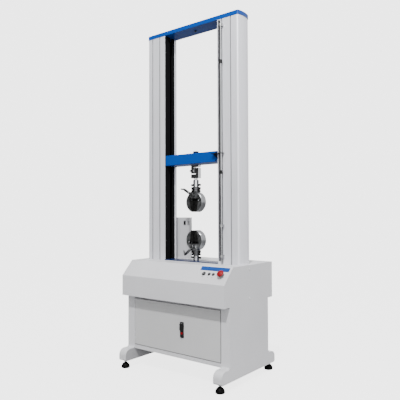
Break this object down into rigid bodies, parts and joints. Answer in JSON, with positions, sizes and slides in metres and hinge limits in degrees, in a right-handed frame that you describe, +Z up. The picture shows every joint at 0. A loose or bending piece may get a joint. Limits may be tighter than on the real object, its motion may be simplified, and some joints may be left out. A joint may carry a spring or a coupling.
{
  "type": "universal testing machine",
  "caption": "Floor-standing tension and compression tester: cabinet base, columns with a screw-driven crosshead, load cell, wedge grips, limit rod and operating panel.",
  "frame": {"origin": "on the floor under the middle of the machine", "axes": "+Z up, +X to the right as seen from the front, +Y to the back"},
  "size_m": [0.7558, 0.54, 2.05],
  "materials": {
    "cabinet_grey": "satin",
    "door_grey": "satin",
    "blue_paint": "satin",
    "column_aluminium": "anodised satin",
    "steel": "machined",
    "chrome": "polished",
    "grip_steel": "black oxide",
    "jaw_steel": "hardened",
    "black_plastic": "matte",
    "red_plastic": "gloss",
    "green_plastic": "gloss",
    "rubber": "matte",
    "cast_dark": "painted"
  },
  "bodies": {
    "frame": {"right_cheek": "cabinet_grey", "left_cheek": "cabinet_grey", "frame_fittings": "steel", "table_cover": "cabinet_grey", "base_beam": "steel", "lower_plate": "blue_paint", "cabinet_rails": "cabinet_grey", "rear_panel": "cabinet_grey", "right_column": "column_aluminium", "left_column": "column_aluminium", "dust_lips": "rubber", "top_plate": "blue_paint", "timing_belt": "rubber", "motor_plate": "steel", "gear_motor": "cast_dark", "guide_rods": "chrome", "lower_adapter": "chrome", "rod_clips": "black_plastic", "panel_bezels": "black_plastic", "control_box": "cabinet_grey", "control_box_cover": "cabinet_grey", "lower_grip_body": "grip_steel"},
    "crosshead": {"crosshead_beam": "blue_paint", "carriages": "steel", "load_cell": "steel", "upper_adapter": "chrome", "striker": "black_plastic", "upper_grip_body": "grip_steel"},
    "foot_front_left": {"foot_front_left": "rubber"},
    "foot_front_right": {"foot_front_right": "rubber"},
    "foot_rear_left": {"foot_rear_left": "rubber"},
    "foot_rear_right": {"foot_rear_right": "rubber"},
    "left_screw": {"left_screw": "steel"},
    "right_screw": {"right_screw": "steel"},
    "motor_pulley": {"motor_pulley": "steel"},
    "upper_left_jaw": {"upper_left_jaw": "jaw_steel"},
    "upper_right_jaw": {"upper_right_jaw": "jaw_steel"},
    "upper_jaw_pusher": {"upper_jaw_pusher": "jaw_steel"},
    "upper_grip_lever": {"upper_grip_lever": "chrome"},
    "lower_left_jaw": {"lower_left_jaw": "jaw_steel"},
    "lower_right_jaw": {"lower_right_jaw": "jaw_steel"},
    "lower_jaw_pusher": {"lower_jaw_pusher": "jaw_steel"},
    "lower_grip_lever": {"lower_grip_lever": "chrome"},
    "limit_rod": {"limit_rod": "chrome"},
    "upper_stop_collar": {"upper_stop_collar": "black_plastic"},
    "lower_stop_collar": {"lower_stop_collar": "black_plastic"},
    "button_1": {"button_1": "green_plastic"},
    "button_2": {"button_2": "black_plastic"},
    "button_3": {"button_3": "black_plastic"},
    "stop_stem": {"stop_stem": "black_plastic"},
    "stop_head": {"stop_head": "red_plastic"},
    "lock_spindle": {"lock_spindle": "steel"},
    "lock_handle": {"lock_handle": "black_plastic"},
    "lock_button": {"lock_button": "red_plastic"},
    "upper_lock_bolt": {"upper_lock_bolt": "steel"},
    "lower_lock_bolt": {"lower_lock_bolt": "steel"},
    "left_rocker": {"left_rocker": "black_plastic"},
    "right_rocker": {"right_rocker": "black_plastic"},
    "door": {"door": "door_grey", "lock_plate": "black_plastic"}
  },
  "joints": [
    {"name": "right_screw_turn", "type": "hinge", "parent": "frame", "child": "right_screw", "pos_m": [0.288, 0, 1.2], "axis": [0, 0, 1], "range_deg": [-3456, 18036]},
    {"name": "left_screw_turn", "type": "hinge", "parent": "frame", "child": "left_screw", "pos_m": [-0.288, 0, 1.2], "axis": [0, 0, 1], "range_deg": [-3456, 18036]},
    {"name": "motor_pulley_turn", "type": "hinge", "parent": "frame", "child": "motor_pulley", "pos_m": [0, 0.1, 0.48], "axis": [0, 0, 1], "range_deg": [-5184, 27072]},
    {"name": "crosshead_travel", "type": "slide", "parent": "frame", "child": "crosshead", "axis": [0, 0, 1], "range_m": [-0.095, 0.5]},
    {"name": "foot_front_left_turn", "type": "hinge", "parent": "frame", "child": "foot_front_left", "pos_m": [-0.347, -0.245, 0], "axis": [0, 0, 1], "range_deg": [-180, 180]},
    {"name": "foot_front_right_turn", "type": "hinge", "parent": "frame", "child": "foot_front_right", "pos_m": [0.347, -0.245, 0], "axis": [0, 0, 1], "range_deg": [-180, 180]},
    {"name": "foot_rear_left_turn", "type": "hinge", "parent": "frame", "child": "foot_rear_left", "pos_m": [-0.347, 0.245, 0], "axis": [0, 0, 1], "range_deg": [-180, 180]},
    {"name": "foot_rear_right_turn", "type": "hinge", "parent": "frame", "child": "foot_rear_right", "pos_m": [0.347, 0.245, 0], "axis": [0, 0, 1], "range_deg": [-180, 180]},
    {"name": "upper_lever_turn", "type": "hinge", "parent": "crosshead", "child": "upper_grip_lever", "pos_m": [0, -0.03, 1.0265], "axis": [0, -1, 0], "range_deg": [0, 40.4]},
    {"name": "upper_left_jaw_slide", "type": "slide", "parent": "crosshead", "child": "upper_left_jaw", "axis": [-0.2079, 0, 0.9781], "range_m": [0, 0.013]},
    {"name": "upper_right_jaw_slide", "type": "slide", "parent": "crosshead", "child": "upper_right_jaw", "axis": [0.2079, 0, 0.9781], "range_m": [0, 0.0132]},
    {"name": "upper_pusher_slide", "type": "slide", "parent": "crosshead", "child": "upper_jaw_pusher", "axis": [0, 0, 1], "range_m": [0, 0.0132]},
    {"name": "lower_lever_turn", "type": "hinge", "parent": "frame", "child": "lower_grip_lever", "pos_m": [0, -0.03, 0.719], "axis": [0, 1, 0], "range_deg": [0, 40.4]},
    {"name": "lower_left_jaw_slide", "type": "slide", "parent": "frame", "child": "lower_left_jaw", "axis": [-0.2079, 0, -0.9781], "range_m": [0, 0.013]},
    {"name": "lower_right_jaw_slide", "type": "slide", "parent": "frame", "child": "lower_right_jaw", "axis": [0.2079, 0, -0.9781], "range_m": [0, 0.0132]},
    {"name": "lower_pusher_slide", "type": "slide", "parent": "frame", "child": "lower_jaw_pusher", "axis": [0, 0, -1], "range_m": [0, 0.0132]},
    {"name": "limit_rod_slide", "type": "slide", "parent": "frame", "child": "limit_rod", "axis": [0, 0, 1], "range_m": [-0.005, 0.005], "stiffness_N_per_m": 6000, "springref_m": 0.0015},
    {"name": "upper_collar_slide", "type": "slide", "parent": "limit_rod", "child": "upper_stop_collar", "axis": [0, 0, 1], "range_m": [-0.45, 0.18]},
    {"name": "lower_collar_slide", "type": "slide", "parent": "limit_rod", "child": "lower_stop_collar", "axis": [0, 0, 1], "range_m": [-0.26, 0.085]},
    {"name": "door_hinge", "type": "hinge", "parent": "frame", "child": "door", "pos_m": [-0.317, -0.1935, 0.27], "axis": [0, 0, -1], "range_deg": [0, 95]},
    {"name": "lock_turn", "type": "hinge", "parent": "door", "child": "lock_spindle", "pos_m": [0.0535, -0.196, 0.301], "axis": [0, 1, 0], "range_deg": [0, 90]},
    {"name": "handle_swing", "type": "hinge", "parent": "lock_spindle", "child": "lock_handle", "pos_m": [0.0535, -0.2048, 0.301], "axis": [-1, 0, 0], "range_deg": [0, 45]},
    {"name": "lock_button_press", "type": "slide", "parent": "door", "child": "lock_button", "axis": [0, 1, 0], "range_m": [0, 0.0025], "stiffness_N_per_m": 400, "springref_m": -0.001},
    {"name": "upper_bolt_throw", "type": "slide", "parent": "door", "child": "upper_lock_bolt", "axis": [0, 0, 1], "range_m": [0, 0.01267]},
    {"name": "lower_bolt_throw", "type": "slide", "parent": "door", "child": "lower_lock_bolt", "axis": [0, 0, -1], "range_m": [0, 0.01267]},
    {"name": "button_1_press", "type": "slide", "parent": "frame", "child": "button_1", "axis": [0, 0.728, -0.6856], "range_m": [0, 0.003], "stiffness_N_per_m": 500, "springref_m": -0.001},
    {"name": "button_2_press", "type": "slide", "parent": "frame", "child": "button_2", "axis": [0, 0.728, -0.6856], "range_m": [0, 0.003], "stiffness_N_per_m": 500, "springref_m": -0.001},
    {"name": "button_3_press", "type": "slide", "parent": "frame", "child": "button_3", "axis": [0, 0.728, -0.6856], "range_m": [0, 0.003], "stiffness_N_per_m": 500, "springref_m": -0.001},
    {"name": "stop_press", "type": "slide", "parent": "frame", "child": "stop_stem", "axis": [0, 0.728, -0.6856], "range_m": [0, 0.005]},
    {"name": "stop_twist", "type": "hinge", "parent": "stop_stem", "child": "stop_head", "pos_m": [0.3315, -0.20386, 0.59168], "axis": [0, 0.728, -0.6856], "range_deg": [0, 45], "stiffness_Nm_per_rad": 0.05},
    {"name": "left_switch_rock", "type": "hinge", "parent": "frame", "child": "left_rocker", "pos_m": [-0.172, 0.101, 0.859], "axis": [-1, 0, 0], "range_deg": [0, 16]},
    {"name": "right_switch_rock", "type": "hinge", "parent": "frame", "child": "right_rocker", "pos_m": [-0.14, 0.101, 0.859], "axis": [-1, 0, 0], "range_deg": [0, 16]}
  ],
  "couplings": [
    {"joint": "right_screw_turn", "follows": "crosshead_travel", "rad_per_m": 628.32},
    {"joint": "left_screw_turn", "follows": "crosshead_travel", "rad_per_m": 628.32},
    {"joint": "motor_pulley_turn", "follows": "crosshead_travel", "rad_per_m": 942.48},
    {"joint": "upper_right_jaw_slide", "follows": "upper_left_jaw_slide", "ratio": 1},
    {"joint": "upper_pusher_slide", "follows": "upper_left_jaw_slide", "ratio": 0.97815},
    {"joint": "upper_lever_turn", "follows": "upper_left_jaw_slide", "rad_per_m": 53.702},
    {"joint": "lower_right_jaw_slide", "follows": "lower_left_jaw_slide", "ratio": 1},
    {"joint": "lower_pusher_slide", "follows": "lower_left_jaw_slide", "ratio": 0.97815},
    {"joint": "lower_lever_turn", "follows": "lower_left_jaw_slide", "rad_per_m": 53.702},
    {"joint": "upper_bolt_throw", "follows": "lock_turn", "m_per_rad": 0.008},
    {"joint": "lower_bolt_throw", "follows": "lock_turn", "m_per_rad": 0.008}
  ]
}
